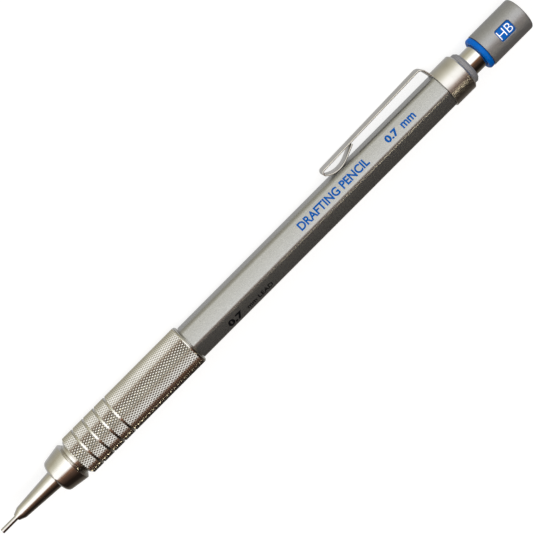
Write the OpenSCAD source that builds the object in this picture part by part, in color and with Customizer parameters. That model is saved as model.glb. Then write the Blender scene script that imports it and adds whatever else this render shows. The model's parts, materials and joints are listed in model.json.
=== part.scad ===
// Drafting pencil with a push cap: knurled metal grip, six-sided barrel,
// three-jaw lead chuck, spring clip and a turning lead-grade indicator.
// Every piece is drawn upright on its own axis, with height 0 at the mouth of
// the lead sleeve and the clip above +X, and is then laid down by lay_down().

/* [Lead] */
// Diameter of the lead
lead_d = 0.7; // [0.5:0.1:0.7]
// Length of one lead
lead_length = 60; // [50:1:60]
// Number of spare leads in the tank
spare_count = 3; // [1:1:4]

/* [Tip] */
// Outer diameter of the lead sleeve
sleeve_d = 1.05; // [1.0:0.05:1.1]
// Length of sleeve that stands out of the tip
sleeve_out = 4; // [3:0.5:5]
// Diameter of the tip at its nose
nose_d = 1.6; // [1.5:0.1:1.8]
// Diameter of the tip behind its nose chamfer
shank_front_d = 2.75; // [2.7:0.05:2.9]
// Diameter of the tip just ahead of its collar
shank_rear_d = 4.1; // [4.1:0.05:4.3]
// Length of the slender part of the tip
shank_length = 11.2; // [11:0.1:11.5]
// Largest diameter of the tip's collar
collar_d = 8.97; // [8.8:0.01:9.2]
// Length of the collar
collar_length = 5.3; // [5.2:0.1:5.6]
// Diameter of the polished neck behind the collar
neck_d = 7.1; // [6.9:0.1:7.3]
// Length of the neck
neck_length = 0.6; // [0.4:0.1:0.8]

/* [Grip] */
// Diameter over the knurl
grip_d = 9.35; // [9.2:0.05:9.6]
// Length of the grip
grip_length = 32.2; // [31:0.1:34]
// Number of turned finger grooves
groove_count = 4; // [1:1:5]
// Distance from one groove to the next
groove_pitch = 3; // [2.5:0.1:3.5]
// Width of a groove
groove_width = 0.5; // [0.3:0.1:0.8]
// Depth of a groove
groove_depth = 0.2; // [0.1:0.05:0.3]

/* [Barrel] */
// Width across the six flats
across_flats = 7.46; // [7.4:0.02:7.6]
// Radius of the rounded corners
corner_r = 1.42; // [1.2:0.02:1.6]
// Length of the six-sided part
barrel_length = 71.4; // [70:0.1:73]

/* [Clip] */
// Outer diameter of the clip's ring
ring_d = 8.55; // [8.5:0.05:8.8]
// Length of the ring
ring_length = 5.6; // [5.4:0.1:6]
// Width of the clip's strip
clip_width = 3.1; // [2.8:0.1:3.4]
// Thickness of the strip
clip_thickness = 0.35; // [0.3:0.05:0.35]
// Height of the strip's outer face over the axis, at the ring
clip_root_height = 6.85; // [6.8:0.05:7]
// The same at the folded end
clip_end_height = 6.18; // [6.1:0.02:6.3]

/* [Rear end] */
// Length of bushing that shows behind the ring
bushing_out = 1.3; // [1:0.1:1.4]
// Outer diameter of the push tube
tube_d = 5.3; // [5.2:0.05:5.3]
// Travel of the push button
push_travel = 2.2; // [1.8:0.1:2.2]
// Outer diameter of the indicator's coloured ring
indicator_d = 7.55; // [7.5:0.05:7.65]
// Length of the coloured ring
indicator_out = 1.2; // [1.0:0.1:1.4]
// Outer diameter of the cap
cap_d = 7.7; // [7.7:0.05:7.9]
// Length of the cap
cap_length = 10.8; // [10.6:0.1:11.4]
// Length of the window along the cap
window_length = 3.85; // [3.5:0.05:4]
// Width of the window
window_width = 3; // [2.6:0.05:3.1]

/* [Hidden] */
$fn = 96;

// Running clearance between turned parts, on the radius
run = 0.05;
// Gap that keeps two free faces apart
gap = 0.05;
// Room left between the bushing and the coloured ring when the button is down
down_room = 0.8;

// Heights of the joints between pieces, up from the mouth of the sleeve
z_shank = sleeve_out;
z_collar = z_shank + shank_length;
z_neck = z_collar + collar_length;
z_grip = z_neck + neck_length;
z_grip_end = z_grip + grip_length;
z_barrel = z_grip_end + 0.2;
z_ring = z_barrel + barrel_length;
z_bushing = z_ring + ring_length;
z_tube = z_bushing + bushing_out;
z_indicator = z_tube + push_travel + down_room;
z_cap = z_indicator + indicator_out;
z_end = z_cap + cap_length;

// Radii of pieces that fit in each other
lead_r = lead_d / 2;
sleeve_r = sleeve_d / 2;
sleeve_seat_r = sleeve_r - 0.025;
grip_r = grip_d / 2;
flat_r = across_flats / 2;
ring_r = ring_d / 2;
tube_r = tube_d / 2;
cap_r = cap_d / 2;
grip_bore_r = 3.5;
thread_r = 3.1;
plug_r = 2.95;
barrel_bore_r = 2.85;
bushing_plug_r = 3.1;
barrel_neck_r = 3.7;
housing_r = 2.3;
spring_room_r = 1.85;
stem_r = 1.15;
stem_bore_r = 0.45;
tank_r = 2.2;
tank_bore_r = 1.95;
tube_bore_r = tank_r;
eraser_r = tube_bore_r - run;
window_wall = 0.45;
indicator_sleeve_r = cap_r - window_wall - 0.03;
liner_r = 2.92;
indicator_bore_r = liner_r + 0.03;
liner_bore_r = tube_r;

// Inside the tip, up from its collar
retainer_seat = z_shank + 4.6;
retainer_length = 3;
nose_room_r = 1.8;
z_nose_room = z_collar + 0.1;
z_ring_room = z_collar + 3;
thread_length = 6;
z_thread_end = z_grip + thread_length;

// Front insert and barrel spigot
z_insert = z_grip + 1;
z_insert_seat = z_thread_end + 1.8;
z_spigot = z_insert_seat + 1;
z_insert_end = z_spigot + 6.1;

// Chuck: its jaws are squeezed by the chuck ring, which stops short of the
// jaws' own travel, so that they open
jaw_nose = z_collar + 2.4;
jaw_head = jaw_nose + 0.7;
jaw_head_end = jaw_head + 4;
jaw_root = jaw_head_end + 2.5;
jaw_head_r = 1.55;
jaw_waist_r = 1.2;
jaw_root_r = 1.1;
jaw_nose_r = 1.05;
jaw_slot_angle = 8;
jaw_grip_length = 2.2;
head_taper = (jaw_head_r - jaw_waist_r) / (jaw_head_end - jaw_head);
chuck_ring_r = housing_r - run;
chuck_ring_front = z_ring_room + 0.8;
chuck_ring_length = 2;
chuck_ring_rear = chuck_ring_front + chuck_ring_length;

// Housing, spring and connector
z_housing = chuck_ring_rear + gap;
z_web = jaw_root + 0.7;
z_spring = z_web + 1.5;
z_spring_end = z_spring + 13;
z_housing_end = z_spring_end + 3;
housing_flange = z_thread_end + 0.3;
spring_wire_r = 0.15;
spring_coil_r = 1.5;
spring_turns = 11;
z_stem_end = z_spring_end + 4.5;
z_connector_flange = z_housing_end + 3;
z_tank = z_connector_flange + 1.5;
z_connector_end = z_tank + 4.5;

// Tank, push tube, eraser
z_push_tube = z_ring - 14.9;
z_tank_end = z_push_tube + 6;
z_push_tube_end = z_cap + 5.2;
z_eraser = z_tube - 0.6;
z_eraser_end = z_push_tube_end + 3.6;
z_bushing_plug = z_ring - 4.9;
z_cap_roof = z_end - 0.8;
window_z = z_end - 5.4;
window_angle = 82.5;

// How the pencil lies: on its grip and on one edge of the clip
clip_half = clip_width / 2;
clip_corner_r = norm([clip_root_height, clip_half]);
clip_below = asin(grip_r / clip_corner_r) - atan(clip_half / clip_root_height);
clip_reach = clip_root_height * cos(clip_below) + clip_half * sin(clip_below);
axis_y = (clip_reach - grip_r) / 2;

// ---- shapes that repeat ----

module lay_down() {
  translate([z_end / 2, axis_y, grip_r])
    rotate([0, -90, 0])
      rotate([0, 0, -90 - clip_below])
        children();
}

// A piece turned on the pencil's axis, from an outline of [radius, height]
module turned(outline) {
  rotate_extrude() polygon(outline);
}

// A plain tube between two heights
module tube(outer, inner, low, high) {
  turned([[inner, low], [outer, low], [outer, high], [inner, high]]);
}

// A plain rod between two heights
module rod(radius, low, high) {
  translate([0, 0, low]) cylinder(r = radius, h = high - low);
}

// Points round an arc, from angle a to angle b
function arc(centre, radius, a, b, steps = 8) = [
  for (i = [0:steps])
    centre + radius * [cos(a + (b - a) * i / steps), sin(a + (b - a) * i / steps)]
];

// Outline of the barrel: six flats with rounded corners, one flat facing +X
function hexagon(flat, corner) = [
  for (k = [0:5])
    let (reach = (flat - corner) / cos(30))
      each arc(reach * [cos(60 * k + 30), sin(60 * k + 30)], corner, 60 * k, 60 * k + 60)
];

// ---- tip ----

module lead_sleeve() {
  bore_r = lead_r + 0.03;
  color("silver")
    lay_down()
      turned([
        [bore_r, 0],
        [sleeve_r, 0],
        [sleeve_r, z_shank],
        [sleeve_seat_r, z_shank],
        [sleeve_seat_r, retainer_seat],
        [bore_r, retainer_seat]
      ]);
}

module tip_cone() {
  color("gainsboro")
    lay_down()
      turned(concat(
        [
          [sleeve_seat_r, z_shank],
          [nose_d / 2, z_shank],
          [shank_front_d / 2, z_shank + 1.4],
          [shank_rear_d / 2, z_collar],
          [collar_d / 2 - 1.15, z_collar]
        ],
        arc([collar_d / 2 - 1.55, z_collar + 1], 1, -60, -10),
        [
          [collar_d / 2, z_neck - 0.6],
          [collar_d / 2 - 0.7, z_neck],
          [neck_d / 2, z_neck],
          [neck_d / 2, z_grip - 0.02],
          [thread_r, z_grip - 0.02],
          [thread_r, z_thread_end],
          [housing_r + run, z_thread_end],
          [housing_r + run, z_ring_room],
          [nose_room_r, z_ring_room],
          [nose_room_r, z_nose_room],
          [1, z_nose_room - 0.8],
          [1, retainer_seat],
          [sleeve_seat_r, retainer_seat]
        ]
      ));
}

module lead_retainer() {
  color("dimgray")
    lay_down()
      tube(0.97, lead_r + 0.02, retainer_seat + 0.02, retainer_seat + retainer_length);
}

// ---- grip and barrel ----

module knurled_grip() {
  color("silver")
    lay_down()
      turned(concat(
        [
          [thread_r + run, z_grip],
          [grip_r - 0.6, z_grip],
          [grip_r, z_grip + 0.6]
        ],
        [
          for (k = [0:groove_count - 1])
            let (low = z_grip + groove_pitch * (k + 1))
              each [
                [grip_r, low],
                [grip_r - groove_depth, low],
                [grip_r - groove_depth, low + groove_width],
                [grip_r, low + groove_width]
              ]
        ],
        arc([grip_r - 0.5, z_grip_end - 0.5], 0.5, 0, 90),
        [
          [grip_bore_r, z_grip_end],
          [grip_bore_r, z_insert],
          [thread_r + run, z_insert]
        ]
      ));
}

module front_insert() {
  color("goldenrod")
    lay_down()
      turned([
        [thread_r + run, z_insert],
        [grip_bore_r, z_insert],
        [grip_bore_r, z_spigot],
        [plug_r, z_spigot],
        [plug_r, z_insert_end],
        [housing_r, z_insert_end],
        [housing_r, z_insert_seat],
        [thread_r + run, z_insert_seat]
      ]);
}

module hex_barrel() {
  color("darkgray")
    lay_down()
      difference() {
        union() {
          translate([0, 0, z_barrel])
            linear_extrude(barrel_length)
              polygon(hexagon(flat_r, corner_r));
          rod(grip_bore_r, z_spigot, z_barrel + 1);
          rod(barrel_neck_r, z_ring - 1, z_bushing - 0.5);
        }
        rod(plug_r, z_spigot - 1, z_insert_end);
        rod(barrel_bore_r, z_insert_end - 1, z_bushing_plug + 1);
        rod(bushing_plug_r, z_bushing_plug, z_bushing);
      }
}

// ---- chuck ----

module chuck_housing() {
  color("goldenrod")
    lay_down()
      turned([
        [1.75, z_housing],
        [housing_r, z_housing],
        [housing_r, housing_flange],
        [thread_r, housing_flange],
        [thread_r, z_insert_seat],
        [housing_r, z_insert_seat],
        [housing_r, z_housing_end],
        [spring_room_r, z_housing_end],
        [spring_room_r, z_spring],
        [1.3, z_spring],
        [1.3, z_web],
        [1.75, z_web]
      ]);
}

// A coil spring with a round wire, as one closed skin
module coil(coil_r, wire_r, turns, low, high, sides = 6, steps = 14) {
  rings = turns * steps;
  rise = high - low - 2 * wire_r;
  points = [
    for (i = [0:rings], j = [0:sides - 1])
      let (
        turn = 360 * i / steps,
        side = 360 * j / sides,
        reach = coil_r + wire_r * cos(side)
      )
        [
          reach * cos(turn),
          reach * sin(turn),
          low + wire_r + rise * i / rings + wire_r * sin(side)
        ]
  ];
  walls = [
    for (i = [0:rings - 1], j = [0:sides - 1])
      let (a = i * sides + j, b = i * sides + (j + 1) % sides)
        each [[a, b, b + sides], [a, b + sides, a + sides]]
  ];
  front = [for (j = [0:sides - 1]) sides - 1 - j];
  back = [for (j = [0:sides - 1]) rings * sides + j];
  polyhedron(points, concat(walls, [front, back]));
}

module return_spring() {
  color("lightsteelblue")
    lay_down()
      coil(spring_coil_r, spring_wire_r, spring_turns, z_spring + gap, z_spring_end - gap);
}

module chuck_ring() {
  front_r = jaw_head_r - head_taper * (chuck_ring_front - jaw_head) + 0.04;
  rear_r = jaw_head_r - head_taper * (chuck_ring_rear - jaw_head) + 0.04;
  color("peru")
    lay_down()
      turned([
        [front_r, chuck_ring_front],
        [chuck_ring_r, chuck_ring_front],
        [chuck_ring_r, chuck_ring_rear],
        [rear_r, chuck_ring_rear]
      ]);
}

// One third of the split chuck: a tapered head on a thin springy leg
module chuck_jaw(number) {
  bore_r = lead_r + 0.01;
  color("goldenrod")
    lay_down()
      rotate([0, 0, 120 * (number - 1) + jaw_slot_angle / 2])
        rotate_extrude(angle = 120 - jaw_slot_angle)
          polygon([
            [bore_r, jaw_nose],
            [jaw_nose_r, jaw_nose],
            [jaw_head_r, jaw_head],
            [jaw_waist_r, jaw_head_end],
            [jaw_root_r, jaw_head_end],
            [jaw_root_r, jaw_root],
            [0.5, jaw_root],
            [0.5, jaw_nose + jaw_grip_length],
            [bore_r, jaw_nose + jaw_grip_length]
          ]);
}

module chuck_jaw_1() {
  chuck_jaw(1);
}

module chuck_jaw_2() {
  chuck_jaw(2);
}

module chuck_jaw_3() {
  chuck_jaw(3);
}

module chuck_stem() {
  color("goldenrod")
    lay_down()
      tube(stem_r, stem_bore_r, jaw_root + gap, z_stem_end);
}

module lead() {
  color("#303030")
    lay_down()
      rod(lead_r, 1, 1 + lead_length);
}

// ---- lead tank and push tube ----

module tank_connector() {
  color("white")
    lay_down()
      turned([
        [stem_r, z_spring_end],
        [spring_room_r - 0.1, z_spring_end],
        [spring_room_r - 0.1, z_connector_flange],
        [tank_r, z_connector_flange],
        [tank_r, z_tank],
        [tank_bore_r, z_tank],
        [tank_bore_r, z_connector_end],
        [tank_bore_r - 0.3, z_connector_end],
        [stem_bore_r, z_tank],
        [stem_bore_r, z_stem_end],
        [stem_r, z_stem_end]
      ]);
}

module lead_tank() {
  color("whitesmoke")
    lay_down()
      tube(tank_r, tank_bore_r, z_tank, z_tank_end);
}

// Spare leads lie side by side along the lowest line of the tank
module spare_leads() {
  rest_r = tank_bore_r - lead_r - gap;
  step = 2 * asin((lead_r + 0.03) / rest_r);
  low = z_connector_end + 1;
  color("#303030")
    lay_down()
      for (k = [0:spare_count - 1])
        rotate([0, 0, clip_below - 90 + step * (k - (spare_count - 1) / 2)])
          translate([rest_r, 0, 0])
            rod(lead_r, low, low + lead_length);
}

module push_tube() {
  color("silver")
    lay_down()
      tube(tube_r, tube_bore_r, z_push_tube, z_push_tube_end);
}

module rear_bushing() {
  color("gray")
    lay_down()
      turned([
        [tube_r + run, z_bushing_plug],
        [bushing_plug_r, z_bushing_plug],
        [bushing_plug_r, z_bushing - 0.5],
        [barrel_neck_r - gap, z_bushing - 0.5],
        [barrel_neck_r - gap, z_tube - 0.5],
        [tube_r + 0.55, z_tube],
        [tube_r + run, z_tube]
      ]);
}

// ---- clip ----

// Walks along straight and round stretches and lists the points passed. A
// stretch is [length, 0] for a straight, or [radius, degrees] for a left turn.
function walk(at, heading, stretches, k = 0) =
  k == len(stretches) ? [at] :
  let (size = stretches[k][0], turn = stretches[k][1])
    turn == 0
      ? concat([at], walk(at + size * [cos(heading), sin(heading)], heading, stretches, k + 1))
      : let (
          centre = at + size * [-sin(heading), cos(heading)],
          passed = arc(centre, size, heading - 90, heading - 90 + turn, ceil(turn / 8))
        )
          concat(
            [for (i = [0:len(passed) - 2]) passed[i]],
            walk(passed[len(passed) - 1], heading + turn, stretches, k + 1)
          );

// Points a distance to the left of a path
function beside(path, distance) = [
  for (i = [0:len(path) - 1])
    let (
      before = path[max(i - 1, 0)],
      after = path[min(i + 1, len(path) - 1)],
      along = (after - before) / norm(after - before)
    )
      path[i] + distance * [-along[1], along[0]]
];

function backwards(list) = [for (i = [len(list) - 1:-1:0]) list[i]];

// A strip of sheet bent along a path of [height along the pencil, height
// over its axis]
module bent_strip(path) {
  half = clip_thickness / 2;
  translate([0, clip_half, 0])
    rotate([90, 0, 0])
      linear_extrude(clip_width)
        polygon([
          for (p = concat(beside(path, half), backwards(beside(path, -half)))) [p[1], p[0]]
        ]);
}

clip_fall = atan((clip_root_height - clip_end_height) / 26.5);
clip_half_thickness = clip_thickness / 2;

// The tab that rises from the ring, and the bend into the arm
tab_lean = 105;
tab_foot = [z_ring + 0.15, ring_r - 0.3];
bend_r = 1.3;
arm_root_height = clip_root_height - clip_half_thickness;
tab_rise = (arm_root_height - tab_foot[1] - bend_r * (cos(clip_fall) + cos(tab_lean)))
  / sin(tab_lean);
tab_path = walk(tab_foot, tab_lean, [
  [tab_rise, 0],
  [bend_r, 180 + clip_fall - tab_lean]
]);
arm_root = tab_path[len(tab_path) - 1];

// The arm folds back at its end, and the fold's belly bears on the barrel
arm_length = 26.77;
fold_r = 0.61;
belly_turn = 40 - clip_fall;
fold_height = arm_root_height - arm_length * sin(clip_fall);
belly_height = flat_r + 0.03 + clip_half_thickness;
belly_r = (fold_height - belly_height - fold_r * (cos(belly_turn) + cos(clip_fall)))
  / (1 - cos(belly_turn));
arm_path = walk(arm_root - [gap, 0], 180 + clip_fall, [
  [arm_length, 0],
  [fold_r, 140],
  [belly_r, belly_turn],
  [6, 24.5],
  [3, 0]
]);

module clip_ring() {
  color("silver")
    lay_down()
      union() {
        turned([
          [barrel_neck_r, z_ring + gap],
          [ring_r, z_ring + gap],
          [ring_r, z_bushing - 0.4],
          [barrel_neck_r + 0.1, z_bushing],
          [barrel_neck_r, z_bushing]
        ]);
        bent_strip(tab_path);
      }
}

module clip_arm() {
  color("silver")
    lay_down()
      bent_strip(arm_path);
}

// ---- cap and grade indicator ----

module grade_indicator() {
  round_r = indicator_out / 2;
  color("dodgerblue")
    lay_down()
      turned(concat(
        [[liner_bore_r + run, z_indicator + 0.3]],
        arc([indicator_d / 2 - round_r, z_indicator + round_r], round_r, -90, 90, 12),
        [
          [indicator_sleeve_r, z_cap],
          [indicator_sleeve_r, z_cap_roof - gap],
          [indicator_bore_r, z_cap_roof - gap],
          [indicator_bore_r, z_cap],
          [liner_bore_r + run, z_cap]
        ]
      ));
}

module cap() {
  low = z_cap + gap;
  color("darkgray")
    lay_down()
      difference() {
        turned(concat(
          [
            [cap_r - window_wall, low],
            [cap_r, low]
          ],
          arc([cap_r - 0.5, z_end - 0.5], 0.5, 0, 90),
          [
            [0, z_end],
            [0, z_cap_roof],
            [cap_r - window_wall, z_cap_roof]
          ]
        ));
        rotate([0, 0, window_angle])
          translate([cap_r - 1, 0, window_z])
            rotate([0, 90, 0])
              linear_extrude(2)
                rounded_window();
      }
}

module rounded_window() {
  corner = 0.5;
  along = window_length / 2 - corner;
  across = window_width / 2 - corner;
  polygon(concat(
    arc([along, across], corner, 0, 90),
    arc([-along, across], corner, 90, 180),
    arc([-along, -across], corner, 180, 270),
    arc([along, -across], corner, 270, 360)
  ));
}

module cap_liner() {
  color("darkgray")
    lay_down()
      tube(liner_r, liner_bore_r, z_cap + gap, z_cap_roof);
}

module eraser() {
  color("white")
    lay_down()
      rod(eraser_r, z_eraser, z_eraser_end);
}

lead_sleeve();
tip_cone();
lead_retainer();
knurled_grip();
front_insert();
hex_barrel();
chuck_housing();
return_spring();
chuck_ring();
chuck_jaw_1();
chuck_jaw_2();
chuck_jaw_3();
chuck_stem();
lead();
tank_connector();
lead_tank();
spare_leads();
push_tube();
rear_bushing();
clip_ring();
clip_arm();
grade_indicator();
cap();
cap_liner();
eraser();
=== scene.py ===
import json
import math

import bmesh
import bpy
import numpy as np
from mathutils import Matrix, Vector


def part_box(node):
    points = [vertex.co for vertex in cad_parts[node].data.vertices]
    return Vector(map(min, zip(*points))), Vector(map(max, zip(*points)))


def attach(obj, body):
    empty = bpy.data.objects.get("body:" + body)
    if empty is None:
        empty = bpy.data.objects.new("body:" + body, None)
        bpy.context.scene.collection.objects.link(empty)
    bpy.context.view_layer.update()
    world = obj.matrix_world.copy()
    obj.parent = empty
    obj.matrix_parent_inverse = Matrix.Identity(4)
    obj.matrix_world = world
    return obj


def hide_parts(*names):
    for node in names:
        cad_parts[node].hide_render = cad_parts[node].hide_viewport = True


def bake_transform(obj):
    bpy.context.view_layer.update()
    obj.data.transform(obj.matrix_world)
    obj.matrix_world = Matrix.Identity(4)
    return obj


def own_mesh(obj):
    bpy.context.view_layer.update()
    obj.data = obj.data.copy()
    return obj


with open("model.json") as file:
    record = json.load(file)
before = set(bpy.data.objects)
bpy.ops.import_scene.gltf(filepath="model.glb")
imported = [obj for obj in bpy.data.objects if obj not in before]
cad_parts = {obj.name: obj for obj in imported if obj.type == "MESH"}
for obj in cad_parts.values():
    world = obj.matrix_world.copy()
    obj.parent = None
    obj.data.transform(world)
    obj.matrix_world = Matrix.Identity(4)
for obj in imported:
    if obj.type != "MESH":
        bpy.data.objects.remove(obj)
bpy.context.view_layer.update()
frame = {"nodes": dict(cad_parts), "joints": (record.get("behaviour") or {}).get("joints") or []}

# A drafting pencil with a knurled metal grip, a six-sided silver barrel, a spring clip and a push cap.
# Everything is laid out by stations: millimetres behind the mouth of the lead sleeve, along the
# pencil's axis. Angles round the axis start at the clip and grow towards the printed facets.

mm = 0.001
full = 2 * math.pi

# ---- the pencil's axis, taken from the frame ----


def findJoint(name):
    return next(j for j in frame["joints"] if j["name"] == name)


def span(node):
    # stations of a CAD node's front and rear, in mm
    low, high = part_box(node)
    return (pointX - high.x) / mm, (pointX - low.x) / mm


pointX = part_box("lead_sleeve")[1].x
gripLow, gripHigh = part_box("knurled_grip")
axisY, axisZ = (gripLow.y + gripHigh.y) / 2, (gripLow.z + gripHigh.z) / 2
clipHinge = findJoint("clip_flex")
clipOut = np.array([0, clipHinge["axis"][2], -clipHinge["axis"][1]])  # from the axis to the clip
sideOut = np.array([0, clipOut[2], -clipOut[1]])                      # a quarter turn further round


def place(station, out, side):
    # a point at a station, out mm towards the clip and side mm a quarter turn round, in metres
    station, out, side = np.broadcast_arrays(station, out, side)
    flat = np.zeros(station.shape)
    centre = np.stack([pointX - station * mm, axisY + flat, axisZ + flat], -1)
    return centre + mm * (out[..., None] * clipOut + side[..., None] * sideOut)


def roundAxis(station, radius, angle):
    # the same from a radius and an angle in radians
    return place(station, radius * np.cos(angle), radius * np.sin(angle))


# ---- mesh helpers ----


def sixVolumes(points, quads):
    # six times the volume that the faces enclose, by the divergence theorem; negative if inside out
    a, b, c, d = (points[quads[:, k]] for k in range(4))
    return np.einsum("ij,ij->", a, np.cross(b, c)) + np.einsum("ij,ij->", a, np.cross(c, d))


def meshObject(name, points, quads, sharp=35, closed=True):
    # a named object from an array of points and an array of quads; repeated points are merged, which
    # turns quads at a pole into triangles, and a closed skin is turned to face outwards
    points, quads = points.reshape(-1, 3), np.asarray(quads).reshape(-1, 4)
    if closed and sixVolumes(points - points.mean(0), quads) < 0:
        quads = quads[:, ::-1]
    mesh = bpy.data.meshes.new(name)
    mesh.from_pydata(points.tolist(), [], quads.tolist())
    work = bmesh.new()
    work.from_mesh(mesh)
    bmesh.ops.remove_doubles(work, verts=work.verts, dist=mergeWithin)
    bmesh.ops.dissolve_degenerate(work, edges=work.edges, dist=mergeWithin / 4)
    work.to_mesh(mesh)
    work.free()
    mesh.shade_smooth()
    mesh.set_sharp_from_angle(angle=math.radians(sharp))
    piece = bpy.data.objects.new(name, mesh)
    bpy.context.scene.collection.objects.link(piece)
    return piece


mergeWithin = 4e-7  # metres


def gridQuads(rows, columns, wrapRows=False, wrapColumns=True, start=0):
    # quads between neighbouring rows and columns of a grid of points
    i = np.arange(rows if wrapRows else rows - 1)[:, None]
    j = np.arange(columns if wrapColumns else columns - 1)[None, :]
    nextRow, nextColumn = (i + 1) % rows, (j + 1) % columns
    corners = [
        i * columns + j, i * columns + nextColumn,
        nextRow * columns + nextColumn, nextRow * columns + j,
    ]
    return start + np.stack(np.broadcast_arrays(*corners), -1).reshape(-1, 4)


def rounded(corners, step=15):
    # an outline through (x, y, radius) corners, each rounded by an arc that meets both sides; the
    # arc's centre is on the corner's bisector, radius / cos(half turn) from the corner
    points = []
    for k, (x, y, radius) in enumerate(corners):
        here = np.array([x, y], float)
        into = here - np.array(corners[k - 1][:2])
        away = np.array(corners[(k + 1) % len(corners)][:2]) - here
        into, away = into / np.linalg.norm(into), away / np.linalg.norm(away)
        turn = math.atan2(into[0] * away[1] - into[1] * away[0], into @ away)
        if radius == 0 or abs(turn) < 0.02:
            points.append(here)
            continue
        side = math.copysign(1, turn)
        centre = here + radius / math.cos(turn / 2) * (away - into) / np.linalg.norm(away - into)
        steps = max(2, math.ceil(abs(math.degrees(turn)) / step))
        first = math.atan2(into[1], into[0]) - side * math.pi / 2
        angles = first + turn * np.linspace(0, 1, steps + 1)
        points.extend(centre + radius * np.stack([np.cos(angles), np.sin(angles)], -1))
    return np.array(points)


def lathe(name, corners, columns=128, sharp=35):
    # a ring-shaped piece turned on the axis from a closed outline of (station, radius, rounding)
    outline = rounded(corners)
    angles = np.arange(columns) * full / columns
    points = roundAxis(outline[:, :1], outline[:, 1:], angles[None, :])
    return meshObject(name, points, gridQuads(len(outline), columns, wrapRows=True), sharp)


def facing(piece, insideOut):
    # makes a skin's faces agree, and turns them all over if insideOut says that they look inwards
    work = bmesh.new()
    work.from_mesh(piece.data)
    bmesh.ops.recalc_face_normals(work, faces=work.faces)
    if insideOut(work):
        bmesh.ops.reverse_faces(work, faces=work.faces)
    work.to_mesh(piece.data)
    work.free()
    piece.data.shade_smooth()


def finish(piece, body, slot, material, *nodes):
    # gives a piece its material and its body, and hides the CAD nodes that it stands for; slot is not used
    piece.data.materials.clear()
    piece.data.materials.append(material)
    if body:
        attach(piece, body)
    if nodes:
        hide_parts(*nodes)
    return piece


# ---- material helpers ----


def colour(code):
    # sRGB hex to the linear colour that shaders take
    parts = [int(code[k:k + 2], 16) / 255 for k in (1, 3, 5)]
    return (*[p / 12.92 if p <= 0.04045 else ((p + 0.055) / 1.055) ** 2.4 for p in parts], 1)


def addNode(tree, kind, settings=None, inputs=None):
    # adds a node; an input that is an output socket is linked, and any other is set
    node = tree.nodes.new(kind)
    for key, value in (settings or {}).items():
        setattr(node, key, value)
    for key, value in (inputs or {}).items():
        if isinstance(value, bpy.types.NodeSocket):
            tree.links.new(value, node.inputs[key])
        else:
            node.inputs[key].default_value = value
    return node


def newMaterial(name):
    material = bpy.data.materials.new(name)
    material.use_nodes = True
    tree = material.node_tree
    tree.nodes.clear()
    output = addNode(tree, "ShaderNodeOutputMaterial")
    shader = addNode(tree, "ShaderNodeBsdfPrincipled")
    tree.links.new(shader.outputs["BSDF"], output.inputs["Surface"])
    return material, tree, shader


def onObject(tree, scale, centre=(0, 0, 0)):
    # object coordinates less centre, times scale, in patterns per millimetre
    coords = addNode(tree, "ShaderNodeTexCoord")
    moved = addNode(tree, "ShaderNodeVectorMath", {"operation": "SUBTRACT"},
                    {0: coords.outputs["Object"], 1: centre})
    perMetre = tuple(s / mm for s in scale)
    scaled = addNode(tree, "ShaderNodeVectorMath", {"operation": "MULTIPLY"},
                     {0: moved.outputs["Vector"], 1: perMetre})
    return scaled.outputs["Vector"]


def noiseAt(tree, vector, detail=2.0, roughness=0.5):
    node = addNode(tree, "ShaderNodeTexNoise", None,
                   {"Vector": vector, "Scale": 1.0, "Detail": detail, "Roughness": roughness})
    return node.outputs["Fac"]


def ramp(tree, value, stops):
    # a colour ramp from (position, hex colour) stops
    node = addNode(tree, "ShaderNodeValToRGB", None, {"Fac": value})
    elements = node.color_ramp.elements
    elements.remove(elements[1])
    for k, (position, code) in enumerate(stops):
        element = elements[0] if k == 0 else elements.new(position)
        element.position, element.color = position, colour(code)
    return node.outputs["Color"]


def between(tree, value, low, high):
    # maps 0..1 to low..high
    node = addNode(tree, "ShaderNodeMapRange", None, {"Value": value, "To Min": low, "To Max": high})
    return node.outputs["Result"]


def bump(tree, shader, height, depth, strength=1.0):
    # depth is the height of the relief in millimetres
    node = addNode(tree, "ShaderNodeBump", None,
                   {"Height": height, "Distance": depth * mm, "Strength": strength})
    tree.links.new(node.outputs["Normal"], shader.inputs["Normal"])


def setShader(shader, **values):
    for key, value in values.items():
        shader.inputs[key.replace("_", " ")].default_value = value


def turnedMetal(name, codes, roughness, lines, depth, spread=0.06, patch=0.35):
    # bright metal that was turned in a lathe: fine lines run round the axis, lines per millimetre along
    # it, and the tone and the gloss drift a little from patch to patch, as plating does
    material, tree, shader = newMaterial(name)
    cloud = noiseAt(tree, onObject(tree, (patch, patch, patch)), 3.0)
    tree.links.new(ramp(tree, cloud, [(0.3, codes[0]), (0.7, codes[1])]), shader.inputs["Base Color"])
    rings = noiseAt(tree, onObject(tree, (lines, 0.05, 0.05)), 3.0, 0.6)
    tree.links.new(between(tree, rings, roughness - spread, roughness + spread), shader.inputs["Roughness"])
    bump(tree, shader, rings, depth)
    setShader(shader, Metallic=1.0)
    return material


def plainPlastic(name, codes, roughness, grain=3.0, depth=0.004, ior=1.5, **extra):
    # moulded plastic or rubber: an even colour with a slight cloudiness and a fine eroded grain
    material, tree, shader = newMaterial(name)
    cloud = noiseAt(tree, onObject(tree, (0.25, 0.25, 0.25)), 2.0)
    tree.links.new(ramp(tree, cloud, [(0.3, codes[0]), (0.7, codes[1])]), shader.inputs["Base Color"])
    skin = noiseAt(tree, onObject(tree, (grain, grain, grain)), 3.0)
    tree.links.new(between(tree, skin, roughness - 0.05, roughness + 0.05), shader.inputs["Roughness"])
    bump(tree, shader, skin, depth)
    setShader(shader, IOR=ior, **extra)
    return material


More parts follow.
